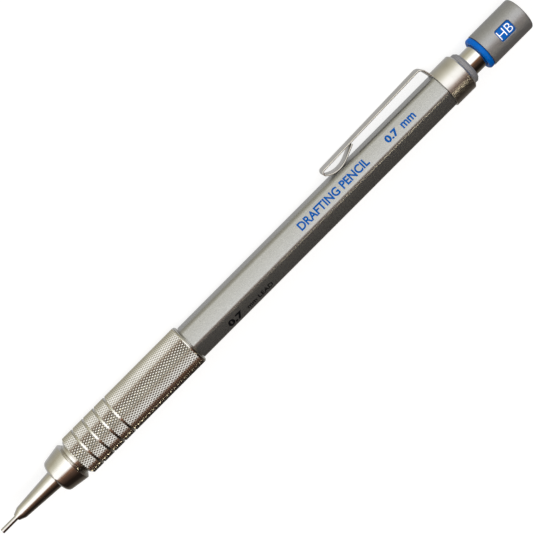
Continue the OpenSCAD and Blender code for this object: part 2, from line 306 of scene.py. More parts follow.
def lacquer(name, codes, metallic, roughness, coat, coatRoughness, flake, glint):
    # silver lacquer: aluminium flakes in a clear binder. Real flakes are 0.02 mm, too fine to show, so
    # they are drawn 0.1 mm across; each one is a little lighter or darker and tips the light its own way
    material, tree, shader = newMaterial(name)
    cell = addNode(tree, "ShaderNodeTexVoronoi", {"feature": "F1"},
                   {"Vector": onObject(tree, (flake, flake, flake)), "Scale": 1.0})
    grey = addNode(tree, "ShaderNodeSeparateColor", None, {"Color": cell.outputs["Color"]})
    tone = ramp(tree, grey.outputs["Red"], [(0.0, codes[0]), (0.55, codes[1]), (1.0, codes[2])])
    tree.links.new(tone, shader.inputs["Base Color"])
    gloss = between(tree, grey.outputs["Green"], roughness - 0.04, roughness + 0.04)
    tree.links.new(gloss, shader.inputs["Roughness"])
    bump(tree, shader, grey.outputs["Blue"], 0.012, glint)
    setShader(shader, Metallic=metallic, Coat_Weight=coat, Coat_Roughness=coatRoughness, Coat_IOR=1.5)
    return material


print("frame loaded:", len(frame["nodes"]), "nodes")

# ---- camera ----
# It looks across the pencil from its printed side, with the point at the lower left and the cap at the
# upper right.

cameraSet = {
    "lens": 100.0,          # mm
    "distance": 297.35,     # mm from the axis
    "elevation": 46.02,     # degrees above the floor
    "station": 74.88,       # the station that it looks at
    "offset": -0.03,        # mm that the view's centre is off the axis
    "slope": 45.08,         # degrees that the pencil rises across the view
    "sensor": 36.0,         # mm
    "clip": (0.005, 20.0),  # m, nearest and farthest that it sees
}


def addCamera():
    tilt = math.radians(cameraSet["elevation"])
    back = Vector((0, -math.cos(tilt), math.sin(tilt)))
    along = Vector((-1, 0, 0))
    across = back.cross(along)
    slope = math.radians(cameraSet["slope"])
    right = along * math.cos(slope) - across * math.sin(slope)
    up = along * math.sin(slope) + across * math.cos(slope)
    centre = Vector((pointX - cameraSet["station"] * mm, axisY, axisZ))
    centre += across * cameraSet["offset"] * mm
    turn = Matrix((right, up, back)).transposed().to_4x4()
    data = bpy.data.cameras.new("camera")
    data.lens, data.sensor_width = cameraSet["lens"], cameraSet["sensor"]
    data.clip_start, data.clip_end = cameraSet["clip"]
    camera = bpy.data.objects.new("camera", data)
    camera.matrix_world = Matrix.Translation(centre + back * cameraSet["distance"] * mm) @ turn
    bpy.context.scene.collection.objects.link(camera)
    bpy.context.scene.camera = camera


addCamera()

# ---- metals ----

# stainless steel tube, drawn and polished: a cool hard gloss with faint lines along its length
sleeveSteel = turnedMetal("polished stainless steel", ("#D2D0CC", "#DDDBD8"), 0.15, 6.0, 0.002)
# chromium over brass, turned and satin finished: soft bands of light with fine rings round the axis
tipChrome = turnedMetal("satin chrome on turned brass", ("#D6D4D0", "#E4E2DE"), 0.17, 11.0, 0.003, 0.05)
# nickel over the rolled knurl: warm and slightly yellow, with a soft gloss on every facet
gripNickel = turnedMetal("satin nickel on a rolled knurl", ("#DAD8D2", "#E8E6E1"), 0.18, 5.0, 0.002, 0.05)

# painted shade for the knurl: its colour is darker where the valleys lie
valleyShadeSet = {
    "floor": 4.475,         # radius of the grooves' polished floors, which get no painted shade
    "top": 4.675,           # and of the knurl's flats
    "tone": "#A5A29C",      # what the colour is multiplied by where the painted shade is deepest
    "stops": (0.25, 0.42, 0.85),  # unshaded, deepest painted shade and unshaded again, as shares from floor to top
}


def darkenValleys(material):
    # painted shade in the knurl's valleys: the colour is multiplied by a ramp over the radius, the length
    # of (y, z) less the axis. The knurl's valleys lie a little under half way from the floor to the top.
    tree = material.node_tree
    shader = next(node for node in tree.nodes if node.type == "BSDF_PRINCIPLED")
    plain = shader.inputs["Base Color"].links[0].from_socket
    flat = onObject(tree, (0, 1, 1), (0, axisY, axisZ))
    radius = addNode(tree, "ShaderNodeVectorMath", {"operation": "LENGTH"}, {0: flat})
    reach = {"Value": radius.outputs["Value"], "From Min": valleyShadeSet["floor"], "From Max": valleyShadeSet["top"]}
    share = addNode(tree, "ShaderNodeMapRange", None, reach)
    stops = zip(valleyShadeSet["stops"], ("#FFFFFF", valleyShadeSet["tone"], "#FFFFFF"))
    # painted shade: darker towards the knurl's valleys, unshaded on the floors and the flats
    paintedValleyShade = ramp(tree, share.outputs["Result"], stops)
    both = addNode(tree, "ShaderNodeMix", {"data_type": "RGBA", "blend_type": "MULTIPLY"},
                   {"Factor": 1.0, 6: plain, 7: paintedValleyShade})
    tree.links.new(both.outputs[2], shader.inputs["Base Color"])


# the grip's nickel gets painted shade in the knurl's valleys
darkenValleys(gripNickel)
# chromium on a drawn tube, buffed: a mirror with hard edged bands
tubeChrome = turnedMetal("bright chrome on a drawn tube", ("#DDDBD6", "#E6E4E0"), 0.07, 4.0, 0.0006, 0.03)
# chromium on pressed strip, barrel-tumbled before plating: satin, with a faint wave left by the press
clipSteel = turnedMetal("satin chrome on pressed steel", ("#D2D0CB", "#E0DEDA"), 0.34, 1.2, 0.003, 0.05)
# leaded brass bar, turned: yellow, with clear tool lines and a slight tarnish
chuckBrass = turnedMetal("turned brass", ("#B98F45", "#DDB869"), 0.24, 9.0, 0.008, 0.08)
# music wire, cold drawn: dark bright grey
springSteel = turnedMetal("cold drawn spring wire", ("#8E8E90", "#A9A9AB"), 0.28, 3.0, 0.002)

# ---- plastics, rubber and lead ----

# metallic silver lacquer sprayed over moulded ABS: grey with a fine sparkle under a clear gloss
barrelSilver = lacquer("silver lacquer on moulded ABS", ("#A0A09E", "#A8A8A5", "#B1B1AE"),
                       0.9, 0.3, 0.2, 0.1, 9.0, 0.03)
# the same lacquer with more matting agent on the cap: even, soft grey
capSilver = lacquer("matt silver lacquer on moulded ABS", ("#8F8F8F", "#989898", "#A1A1A1"),
                    0.75, 0.4, 0.05, 0.3, 12.0, 0.04)
# grey polypropylene from a spark-eroded mould: dull
bushingGrey = plainPlastic("moulded grey polypropylene", ("#68686B", "#757578"), 0.42)
# blue ABS moulding, polished mould: saturated with a clear gloss
indicatorBlue = plainPlastic("moulded blue ABS", ("#00509E", "#0055A6"), 0.3, 2.0, 0.002, 1.45,
                             Specular_IOR_Level=0.1)
# lead: fired clay and graphite, dark with a dull metallic gloss
leadGraphite = plainPlastic("fired graphite lead", ("#26262A", "#323236"), 0.36, 6.0, 0.004, 2.0,
                            Metallic=0.3)
# nitrile rubber bush, moulded: black and dull
retainerRubber = plainPlastic("moulded nitrile rubber", ("#1A1A1B", "#232325"), 0.62, 5.0, 0.006, 1.52)
# polypropylene tube, extruded and undyed: milky, lets light through
tankPlastic = plainPlastic("extruded natural polypropylene", ("#D8DADC", "#E4E5E6"), 0.34, 1.5, 0.002, 1.49,
                           Subsurface_Weight=0.25, Subsurface_Scale=0.0006)
# acetal, moulded: opaque white with a waxy gloss
connectorWhite = plainPlastic("moulded acetal", ("#E3E2DC", "#ECEBE7"), 0.36, 2.0, 0.003, 1.48)
# PVC eraser, extruded and cut: white, matt, slightly dusty
eraserVinyl = plainPlastic("extruded white vinyl eraser", ("#E2E1DC", "#EDECE8"), 0.7, 4.0, 0.012, 1.53,
                           Subsurface_Weight=0.15, Subsurface_Scale=0.0005)
# pad-printed inks: thin, even films with a slight gloss
inkBlue = plainPlastic("pad-printed blue ink", ("#004689", "#004C92"), 0.5, 4.0, 0.002, 1.4,
                       Specular_IOR_Level=0.1)
inkBlack = plainPlastic("pad-printed black ink", ("#08080A", "#0E0E10"), 0.5, 4.0, 0.002, 1.4,
                        Specular_IOR_Level=0.15)
inkWhite = plainPlastic("pad-printed white ink", ("#E9EBEE", "#F2F4F6"), 0.45, 4.0, 0.002)

print("materials ready:", len(bpy.data.materials))

# ---- CAD nodes whose shape is kept ----

keptNodes = {
    "lead_retainer": retainerRubber,
    "front_insert": chuckBrass,
    "chuck_housing": chuckBrass,
    "chuck_ring": chuckBrass,
    "chuck_jaw_1": chuckBrass,
    "chuck_jaw_2": chuckBrass,
    "chuck_jaw_3": chuckBrass,
    "chuck_stem": chuckBrass,
    "tank_connector": connectorWhite,
    "lead_tank": tankPlastic,
    "spare_leads": leadGraphite,
    "cap_liner": capSilver,
}
for nodeName, material in keptNodes.items():
    node = frame["nodes"][nodeName]
    for k in range(max(1, len(node.material_slots))):
        if k < len(node.material_slots):
            node.material_slots[k].material = material
        else:
            node.data.materials.append(material)

# ---- lead and lead sleeve ----

leadSet = {"radius": 0.35, "worn": 0.12, "rear": 0.03, "columns": 40}  # mm; worn and rear round its ends


def rod(name, corners, columns):
    # a solid rod turned on the axis: its outline starts and ends on the axis, and isn't closed
    outline = rounded(corners)
    angles = np.arange(columns) * full / columns
    points = roundAxis(outline[:, :1], outline[:, 1:], angles[None, :])
    return meshObject(name, points, gridQuads(len(outline), columns))


def makeLead():
    front, rear = span("lead")
    radius = leadSet["radius"]
    piece = rod("lead_in_use", [
        (front, 0, 0), (front, radius, leadSet["worn"]), (rear, radius, leadSet["rear"]), (rear, 0, 0),
    ], leadSet["columns"])
    finish(piece, "lead", "lead_graphite", leadGraphite, "lead")


sleeveSet = {
    "bore": 0.38,       # radius
    "radius": 0.525,    # of the part that stands out
    "seat": 0.5,        # radius of the part pressed into the tip
    "edge": 0.05,       # rounding of the mouth
    "columns": 64,
}


def makeSleeve():
    front, rear = span("lead_sleeve")
    shoulder = span("tip_cone")[0]
    edge = sleeveSet["edge"]
    piece = lathe("lead_sleeve_tube", [
        (front, sleeveSet["bore"], edge), (front, sleeveSet["radius"], edge),
        (shoulder, sleeveSet["radius"], 0), (shoulder, sleeveSet["seat"], 0),
        (rear, sleeveSet["seat"], 0), (rear, sleeveSet["bore"], 0),
    ], sleeveSet["columns"])
    finish(piece, "tip", "sleeve_steel", sleeveSteel, "lead_sleeve")


makeLead()
makeSleeve()

# ---- tip ----
# Slender cone, collar with a rounded shoulder, polished neck, and the thread that screws into the grip.

tipSet = {
    "nose": 0.8,            # radius at the nose
    "chamfer": (1.4, 1.375),  # length of the nose chamfer and the radius behind it
    "shank": (11.2, 2.05),  # length of the slender part and its radius at the collar
    "collarLength": 5.3,
    "collar": (3.765, 4.485),  # radii of the collar, front and rear
    "shoulder": 1.0,        # rounding of the collar's front
    "backChamfer": (0.6, 0.7),  # along and in, at the collar's rear
    "neck": 3.55,
    "neckGap": 0.02,        # between the neck's end and the grip
    "thread": (3.1, 0.33, 0.75),  # outer radius, depth and pitch of the thread
    "threadEnds": (0.25, 0.35),  # plain lengths before and behind the thread
    "threadTaper": 0.2,     # that the rear end narrows by, in radius
    "crest": (1.3, 0.15),   # gain and cut that flatten the thread's crests and roots
    "chuckBore": (2.35, 3.0),  # radius, and where it ends behind the collar's front
    "ringBore": (1.8, 0.1),    # the same for the narrower bore ahead of it
    "retainerBore": (1.0, -0.7),  # and for the lead retainer's
    "columns": 144,
    "rowsPerPitch": 8,
}


def makeTip():
    front, rear = span("tip_cone")
    seat = span("lead_sleeve")[1]
    gripFront = span("knurled_grip")[0]
    collar = front + tipSet["shank"][0]
    neck = collar + tipSet["collarLength"]
    along, inward = tipSet["backChamfer"]
    threadTop, depth, pitch = tipSet["thread"]
    root = threadTop - depth
    start = gripFront - tipSet["neckGap"]
    first, last = start + tipSet["threadEnds"][0], rear - tipSet["threadEnds"][1]
    (chuckR, chuckEnd), (ringR, ringEnd), (retainerR, retainerEnd) = (
        tipSet[key] for key in ("chuckBore", "ringBore", "retainerBore"))
    outline = rounded([
        (front, sleeveSet["seat"], 0.04), (front, tipSet["nose"], 0.14),
        (front + tipSet["chamfer"][0], tipSet["chamfer"][1], 1.2),
        (collar, tipSet["shank"][1], 0.12),
        (collar, tipSet["collar"][0], tipSet["shoulder"]),
        (neck - along, tipSet["collar"][1], 0.14),
        (neck, tipSet["collar"][1] - inward, 0.08),
        (neck, tipSet["neck"], 0.05),
        (start, tipSet["neck"], 0.03), (start, root, 0.03),
        (first, root, 0.0), (last, root, 0.0),
        (rear, root - tipSet["threadTaper"], 0.03),
        (rear, chuckR, 0.03), (collar + chuckEnd, chuckR, 0), (collar + chuckEnd, ringR, 0),
        (collar + ringEnd, ringR, 0), (collar + retainerEnd, retainerR, 0), (seat, retainerR, 0),
        (seat, sleeveSet["seat"], 0),
    ])
    # the threaded stretch gets a row every eighth of a pitch, and its radius follows a triangle wave
    # of station / pitch - turn, fading in and out over its first and last turn
    cut = np.flatnonzero(np.isclose(outline[:, 0], first))[0]
    rows = np.arange(first, last, pitch / tipSet["rowsPerPitch"])[1:]
    outline = np.insert(outline, cut + 1, np.stack([rows, np.full(rows.shape, root)], -1), axis=0)
    station, radius = outline[:, :1], outline[:, 1:]
    angles = (np.arange(tipSet["columns"]) * full / tipSet["columns"])[None, :]
    wave = np.abs(((station / pitch - angles / full) % 1) * 2 - 1)
    fade = np.clip((station - first) / pitch, 0, 1) * np.clip((last - station) / pitch, 0, 1)
    threaded = np.isclose(radius, root) & (station > first - 0.05) & (station < last + 0.05)
    gain, shift = tipSet["crest"]
    radius = radius + threaded * fade * depth * np.clip(wave * gain - shift, 0, 1)
    quads = gridQuads(len(outline), tipSet["columns"], wrapRows=True)
    piece = meshObject("tip_body", roundAxis(station, radius, angles), quads, 32)
    finish(piece, "tip", "tip_chrome", tipChrome, "tip_cone")


makeTip()

# ---- knurled grip ----
# The knurl is a lattice of four-sided pyramids with flat tops, long along the axis. In units of one
# diamond, centres lie at (u, w) with u + w whole, where u runs round and w along.

gripSet = {
    "radius": 4.675,
    "bore": 3.5,
    "threadBore": (3.15, 1.0),  # radius of the narrow bore in front, and its length
    "around": 51,           # diamonds round the grip
    "length": 1.0,          # of a diamond, about, mm along the axis
    "depth": 0.11,          # of the knurl
    "flat": 0.2,            # share of a diamond from its middle to its flat top's corner
    "grooves": 4,
    "pitch": 3.0,           # from groove to groove
    "grooveWidth": 0.5,
    "grooveDepth": 0.2,
    "lip": 0.06,            # rounding of a groove's edges
    "frontChamfer": 0.6,
    "chamferStart": 0.5,    # where the knurl starts, behind the front
    "rearRound": 0.5,
    "innerEdge": 0.05,
}


def knurlBand(low, rows, phase, unit):
    # rows of whole diamonds, unit long, from station low, with half diamonds closing both ends; returns
    # the points and quads, and the phase of the last edge. Each diamond is a flat top and four sloping
    # sides: its corners are half a diamond from its centre, and its top's are flat from it.
    count, flat = gripSet["around"], gripSet["flat"]
    row = np.arange(rows + 2)[:, None]               # the first and last rows are the half diamonds
    u = np.arange(count)[None, :] + phase + 0.5 * ((row + 1) % 2)
    w = 0.5 * row
    upper, lower = np.where(row == rows + 1, 0, 1), np.where(row == 0, 0, 1)

    def ring(reach, radius):
        # the half diamonds' outer points fall on their own centre line, so that side closes flat
        corners = [(u - reach, w), (u, w - reach * lower), (u + reach, w), (u, w + reach * upper)]
        return [roundAxis(low + ww * unit, radius, uu * full / count) for uu, ww in corners]

    outer, inner = ring(0.5, gripSet["radius"] - gripSet["depth"]), ring(flat, gripSet["radius"])
    sides = [[outer[k], outer[(k + 1) % 4], inner[(k + 1) % 4], inner[k]] for k in range(4)]
    keep = []
    for index, face in enumerate([inner] + sides):
        shape = np.stack(face, 2)                    # rows, count, corner, xyz
        use = np.ones(shape.shape[:2], bool)
        if index in (1, 2):
            use[0] = False                           # sides that a half diamond at the front lacks
        if index in (3, 4):
            use[-1] = False
        keep.append(shape[use])
    points = np.concatenate(keep).reshape(-1, 3)
    return points, np.arange(len(points)).reshape(-1, 4), phase + 0.5 * (rows % 2 + 1)


def edgeRing(station, phase):
    # the edge of a band: per diamond, a valley and the two ends of the half diamond's flat top
    count, flat = gripSet["around"], gripSet["flat"]
    u = np.arange(count)[:, None] + phase + np.array([0, 0.5 - flat, 0.5 + flat])[None, :]
    radius = gripSet["radius"] - gripSet["depth"] * np.array([1, 0, 0])
    return roundAxis(station, radius, u * full / count).reshape(-1, 3)


def plainRing(station, radius, phase):
    count = gripSet["around"]
    u = np.arange(3 * count) / 3 + phase
    return roundAxis(station, radius, u * full / count)


def makeGrip():
    # knurled bands and, between them, chains of rings: the front, the grooves, and the rear with the
    # bore, which comes back to the front
    front, rear = span("knurled_grip")
    radius, chamfer, roundR = gripSet["radius"], gripSet["frontChamfer"], gripSet["rearRound"]
    floor, corner = radius - gripSet["grooveDepth"], gripSet["lip"]
    bands = []
    low = front + gripSet["chamferStart"]
    for k in range(gripSet["grooves"] + 1):
        high = front + gripSet["pitch"] * (k + 1) if k < gripSet["grooves"] else rear - roundR
        bands.append((low, high))
        low = high + gripSet["grooveWidth"]

    def lip(station, side, at):
        # rings that round a groove's edge down to its floor, on the side of the band
        return [
            plainRing(station + side * corner, floor + corner * 0.3, at),
            plainRing(station + side * corner * 1.6, floor, at),
        ]

    points, quads, lofts, count, phase = [], [], [], 0, 0.0
    chain = [plainRing(front, radius - chamfer, phase), plainRing(bands[0][0] - 0.02, floor, phase)]
    for low, high in bands:
        rows = int(round((high - low) / gripSet["length"] * 2)) - 1
        unit = (high - low) / ((rows + 1) / 2)       # whole diamonds fill the band
        some, faces, last = knurlBand(low, rows, phase, unit)
        quads.append(faces + count)
        points.append(some)
        count += len(some)
        chain.append(edgeRing(low, phase))
        lofts.append(chain)
        phase = last
        chain = [edgeRing(high, phase)]
        if high < bands[-1][1]:
            chain += lip(high, 1, phase)
            chain += lip(high + gripSet["grooveWidth"], -1, phase)[::-1]
    for t in np.linspace(0, 1, 6) * math.pi / 2:
        down = radius - roundR + (roundR - 0.02) * math.cos(t)
        chain.append(plainRing(rear - roundR + roundR * math.sin(t), down, phase))
    (threadR, threadEnd), bore, inner = gripSet["threadBore"], gripSet["bore"], gripSet["innerEdge"]
    chain += [plainRing(z, r, phase) for z, r in (
        (rear, bore + inner), (rear - inner, bore), (front + threadEnd, bore),
        (front + threadEnd, threadR), (front, threadR))]
    chain.append(lofts[0][0])
    lofts.append(chain)
    for rings in lofts:
        grid = np.array(rings)
        points.append(grid.reshape(-1, 3))
        quads.append(gridQuads(len(rings), grid.shape[1], start=count))
        count += grid.shape[0] * grid.shape[1]
    piece = meshObject("grip_knurl", np.concatenate(points), np.concatenate(quads), 24, closed=False)
    facing(piece, lambda work: work.calc_volume(signed=True) < 0)
    piece.data.set_sharp_from_angle(angle=math.radians(24))
    finish(piece, "barrel", "grip_nickel", gripNickel, "knurled_grip")


makeGrip()
print("tip and grip done")

# ---- barrel ----
# Six flats with rounded corners, carried along the axis, with a round spigot at each end and a bore.

barrelSet = {
    "flat": 3.73,           # from the axis to a flat
    "corner": 1.42,         # radius of a rounded corner
    "crown": 22.0,          # radius of the slight bulge of a flat
    "edge": 0.1,            # rounding of the ends
    "gap": 0.2,             # between the grip and the six-sided part
    "length": 71.4,         # of the six-sided part
    "spigot": 3.5,          # radius of the stretch inside the grip
    "neck": 3.68,           # and of the one under the clip's ring
    "bore": 2.85,
    "frontBore": (2.95, 6.1),  # radius and length
    "rearBore": (3.1, 4.9),    # radius, and length inside the six-sided part
    "cornerSteps": 14,
    "flatSteps": 10,
    "rings": 25,
}


def crownDrop(across):
    # how far a flat falls away to each side of its middle: across squared over twice the radius
    return across ** 2 / (2 * barrelSet["crown"])


def hexSection(inset=0.0):
    # points round the section: a corner's arc is centred at (flat - corner) / cos 30 from the axis,
    # and the flats, which bulge a little, join the arcs
    flat, corner = barrelSet["flat"] - inset, barrelSet["corner"] - inset
    reach = (barrelSet["flat"] - barrelSet["corner"]) / math.cos(math.pi / 6)
    half = reach * math.sin(math.pi / 6)
    lower = crownDrop(half)
    out, side = [], []
    for k in range(6):
        middle, ahead = math.radians(60 * k + 30), math.radians(60 * k + 60)
        sweep = np.radians(60 * k + 60 * np.linspace(0, 1, barrelSet["cornerSteps"] + 1))
        out.append((reach - lower) * math.cos(middle) + corner * np.cos(sweep))
        side.append((reach - lower) * math.sin(middle) + corner * np.sin(sweep))
        across = np.linspace(-half, half, barrelSet["flatSteps"] + 1)[1:-1]
        high = flat - crownDrop(across)
        out.append(high * math.cos(ahead) - across * math.sin(ahead))
        side.append(high * math.sin(ahead) + across * math.cos(ahead))
    return np.concatenate(out), np.concatenate(side)


def makeBarrel():
    low, high = span("hex_barrel")
    front = span("knurled_grip")[1] + barrelSet["gap"]
    rear = front + barrelSet["length"]
    plain = hexSection()
    angles = np.arctan2(plain[1], plain[0])

    def hexRing(station, inset):
        out, side = hexSection(inset)
        return place(station, out, side)

    edge = barrelSet["edge"]
    turn = np.linspace(0, math.pi / 2, 5)
    rounding = [(edge * (1 - math.sin(t)), edge * (1 - math.cos(t))) for t in turn]
    (frontR, frontEnd), (rearR, rearEnd) = barrelSet["frontBore"], barrelSet["rearBore"]
    bore, spigot, neck = barrelSet["bore"], barrelSet["spigot"], barrelSet["neck"]
    rings = [roundAxis(z, r, angles) for z, r in ((low, frontR), (low, spigot), (front, spigot))]
    rings += [hexRing(front + along, inset) for along, inset in rounding[::-1]]
    rings += [hexRing(z, 0) for z in np.linspace(front, rear, barrelSet["rings"])[1:-1]]
    rings += [hexRing(rear - along, inset) for along, inset in rounding]
    rings += [roundAxis(z, r, angles) for z, r in (
        (rear, neck), (high, neck), (high, rearR), (rear - rearEnd, rearR),
        (rear - rearEnd, bore), (low + frontEnd, bore), (low + frontEnd, frontR))]
    grid = np.array(rings)
    piece = meshObject("barrel_skin", grid, gridQuads(len(rings), grid.shape[1], wrapRows=True), 40)
    finish(piece, "barrel", "barrel_silver", barrelSilver, "hex_barrel")


makeBarrel()

# ---- clip ----
# A ring round the barrel's neck, and one bent strip: the tab, the arm, and the end folded back under it.

clipSet = {
    "width": 3.1,
    "thickness": 0.35,
    "edge": 0.17,           # rounding of the strip's edges
    "ring": 4.275,          # outer radius of the ring
    "ringBore": 3.7,
    "foot": (125.05, 3.975),  # station and height where the tab leaves the ring
    "lean": 105.0,          # degrees that the tab leans, from the axis
    "bend": 1.3,            # radius of the bend into the arm
    "rootHeight": 6.85,     # of the arm's outer face over the axis, at the bend
    "endHeight": 6.18,      # and at the fold
    "fallOver": 26.5,       # the stations over which it falls from one to the other
    "armLength": 26.77,
    "fold": (0.61, 140.0),  # radius and turn of the fold
    "belly": 40.0,          # degrees that the belly turns, less the arm's fall
    "tail": (6.0, 24.5, 3.0),  # radius, turn and straight end of the tail
    "floorGap": 0.03,       # between the belly and the barrel
    "endRound": (0.93, 0.03),  # what the strip narrows to at its ends, and how far it goes on
    "flexes": (124.6, 123.4, 5.0),  # stations between which it bends, and their height
    "ringLength": 5.55,
    "ringGap": 1.3,         # from the ring's rear to the bushing's
    "ringRound": (0.42, 0.25, 0.12),  # length, radius and foot of its rounded rear
}


def walk(at, heading, stretches):
    # points along a path of straight stretches (length, 0) and left turns (radius, degrees)
    points = [np.array(at, float)]
    for size, turn in stretches:
        rad = math.radians(heading)
        if turn == 0:
            steps = np.linspace(0, size, max(2, int(size / 1.5)))[1:, None]
            points.extend(points[-1] + steps * np.array([math.cos(rad), math.sin(rad)]))
            continue
        centre = points[-1] + size * np.array([-math.sin(rad), math.cos(rad)])
        swing = rad - math.pi / 2 + np.radians(np.linspace(0, turn, max(3, math.ceil(turn / 5))))[1:]
        points.extend(centre + size * np.stack([np.cos(swing), np.sin(swing)], -1))
        heading += turn
    return np.array(points)


def clipPath():
    # the strip's centre line as (station, height); the belly's radius makes it touch the flat
    half = clipSet["thickness"] / 2
    fall = math.atan((clipSet["rootHeight"] - clipSet["endHeight"]) / clipSet["fallOver"])
    lean, bend = math.radians(clipSet["lean"]), clipSet["bend"]
    armHeight = clipSet["rootHeight"] - half
    bent = bend * (math.cos(fall) + math.cos(lean))
    rise = (armHeight - clipSet["foot"][1] - bent) / math.sin(lean)
    foldR, foldTurn = clipSet["fold"]
    bellyTurn = clipSet["belly"] - math.degrees(fall)
    bellyCos = math.cos(math.radians(bellyTurn))
    foldHeight = armHeight - clipSet["armLength"] * math.sin(fall)
    bellyHeight = barrelSet["flat"] + clipSet["floorGap"] + half
    drop = foldHeight - bellyHeight - foldR * (bellyCos + math.cos(fall))
    bellyR = drop / (1 - bellyCos)
    tailR, tailTurn, tailEnd = clipSet["tail"]
    return walk(clipSet["foot"], clipSet["lean"], [
        (rise, 0), (bend, 180 + math.degrees(fall) - clipSet["lean"]), (clipSet["armLength"], 0),
        (foldR, foldTurn), (bellyR, bellyTurn), (tailR, tailTurn), (tailEnd, 0),
    ])


def makeClip():
    # the section, a rounded rectangle, is carried along the centre line: each point is the path's
    # point, plus its offset along the path's normal, plus its offset across the strip
    path = clipPath()
    along = np.gradient(path, axis=0)
    along /= np.linalg.norm(along, axis=1)[:, None]
    normal = np.stack([-along[:, 1], along[:, 0]], -1)
    halfW, halfT, edge = clipSet["width"] / 2, clipSet["thickness"] / 2, clipSet["edge"]
    section = rounded([
        (-halfW, -halfT, edge), (halfW, -halfT, edge), (halfW, halfT, edge), (-halfW, halfT, edge),
    ], 22)
    # two more rings at each end shrink to a point, which rounds off the cut ends
    narrow, beyond = clipSet["endRound"]
    path, normal, along = (
        np.concatenate([rows[:1], rows[:1], rows, rows[-1:], rows[-1:]]) for rows in (path, normal, along))
    size, slip = np.ones(len(path)), np.zeros(len(path))
    size[[0, 1, -2, -1]] = 0, narrow, narrow, 0
    slip[[0, 1, -2, -1]] = -beyond, -beyond, beyond, beyond
    spots = path[:, None, :] + slip[:, None, None] * along[:, None, :]
    spots = spots + (size[:, None] * section[None, :, 1])[..., None] * normal[:, None, :]
    points = place(spots[..., 0], spots[..., 1], size[:, None] * section[None, :, 0])
    piece = meshObject("clip_strip", points, gridQuads(*points.shape[:2]), 40)
    finish(piece, None, "clip_steel", clipSteel, "clip_arm")
    rooted, free, height = clipSet["flexes"]
    start, end = place(rooted, height, 0), place(free, height, 0)
    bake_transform(piece)


def makeClipRing():
    rear = span("rear_bushing")[1] - clipSet["ringGap"]
    front = rear - clipSet["ringLength"]
    bore, ring = clipSet["ringBore"], clipSet["ring"]
    along, radius, foot = clipSet["ringRound"]
    piece = lathe("clip_ring_band", [
        (front, bore, 0.04), (front, ring, 0.09), (rear - along, ring, radius),
        (rear, bore + foot, 0.05), (rear, bore, 0.02),
    ], 144)
    finish(piece, "barrel", "clip_steel", clipSteel, "clip_ring")


makeClip()
makeClipRing()
print("barrel and clip done")

# ---- rear bushing and push tube ----

tubeSet = {"radius": 2.65, "bore": 2.2, "edge": 0.12}
bushingSet = {"bore": 2.7, "plug": 3.1, "rim": 3.65, "rimLength": 1.8, "lipLength": 0.5, "lip": 3.2}


def makeBushing():
    front, rear = span("rear_bushing")
    rim = rear - bushingSet["rimLength"]
    piece = lathe("rear_bushing_collar", [
        (front, bushingSet["bore"], 0), (front, bushingSet["plug"], 0.05), (rim, bushingSet["plug"], 0),
        (rim, bushingSet["rim"], 0), (rear - bushingSet["lipLength"], bushingSet["rim"], 0.1),
        (rear, bushingSet["lip"], 0.06), (rear, bushingSet["bore"], 0.02),
    ])
    finish(piece, "barrel", "bushing_grey", bushingGrey, "rear_bushing")


def makePushTube():
    front, rear = span("push_tube")
    edge = tubeSet["edge"]
    piece = lathe("push_tube_chromed", [
        (front, tubeSet["bore"], edge), (front, tubeSet["radius"], edge),
        (rear, tubeSet["radius"], edge), (rear, tubeSet["bore"], edge),
    ])
    finish(piece, "plunger", "tube_chrome", tubeChrome, "push_tube")


makeBushing()
makePushTube()

# ---- grade indicator, cap and eraser ----

indicatorSet = {"ring": 3.775, "ringLength": 1.2, "sleeve": 3.37, "sleeveBore": 2.95, "ringBore": 2.7}
capSet = {
    "radius": 3.85,
    "wall": 0.45,
    "endRound": 0.5,
    "window": (3.85, 3.0, 0.5),   # length, width and corner radius
    "windowFromEnd": 5.4,
    "windowAngle": 82.5,
    "edge": 0.07,                  # rounding of the window's edge
    "columns": 144,
    "patch": (40, 3.0),            # the mesh round the window: its columns, and half its length
    "rows": (9, 25, 6),            # rings of points ahead of the patch, along it and behind it
    "patchRings": (9, 0.6),        # rings from its border to the window, and how they crowd
    "endRings": (2.6, 1.6, 0.6, 0.0),  # radii on the end face
}


def makeIndicator():
    front, rear = span("grade_indicator")
    step = front + indicatorSet["ringLength"]
    half = indicatorSet["ringLength"] / 2
    piece = lathe("grade_indicator_ring", [
        (front + 0.12, indicatorSet["ringBore"], 0.05), (front, indicatorSet["ring"] - half * 0.9, 0.12),
        (front, indicatorSet["ring"], half * 0.88), (step, indicatorSet["ring"], half * 0.5),
        (step, indicatorSet["sleeve"], 0), (rear, indicatorSet["sleeve"], 0.05),
        (rear, indicatorSet["sleeveBore"], 0), (step, indicatorSet["sleeveBore"], 0),
        (step, indicatorSet["ringBore"], 0),
    ], 144)
    finish(piece, "indicator", "indicator_blue", indicatorBlue, "grade_indicator")


def windowOutline(count):
    # the window's rounded outline as (along, round) offsets in mm, with count points spread evenly
    length, width, corner = capSet["window"]
    outline = rounded([(length / 2, width / 2, corner), (-length / 2, width / 2, corner),
                       (-length / 2, -width / 2, corner), (length / 2, -width / 2, corner)], 9)
    outline = np.concatenate([outline, outline[:1]])
    travelled = np.concatenate([[0], np.cumsum(np.linalg.norm(np.diff(outline, axis=0), axis=1))])
    wanted = np.linspace(0, travelled[-1], count + 1)[:-1]
    return np.stack([np.interp(wanted, travelled, outline[:, k]) for k in range(2)], -1)


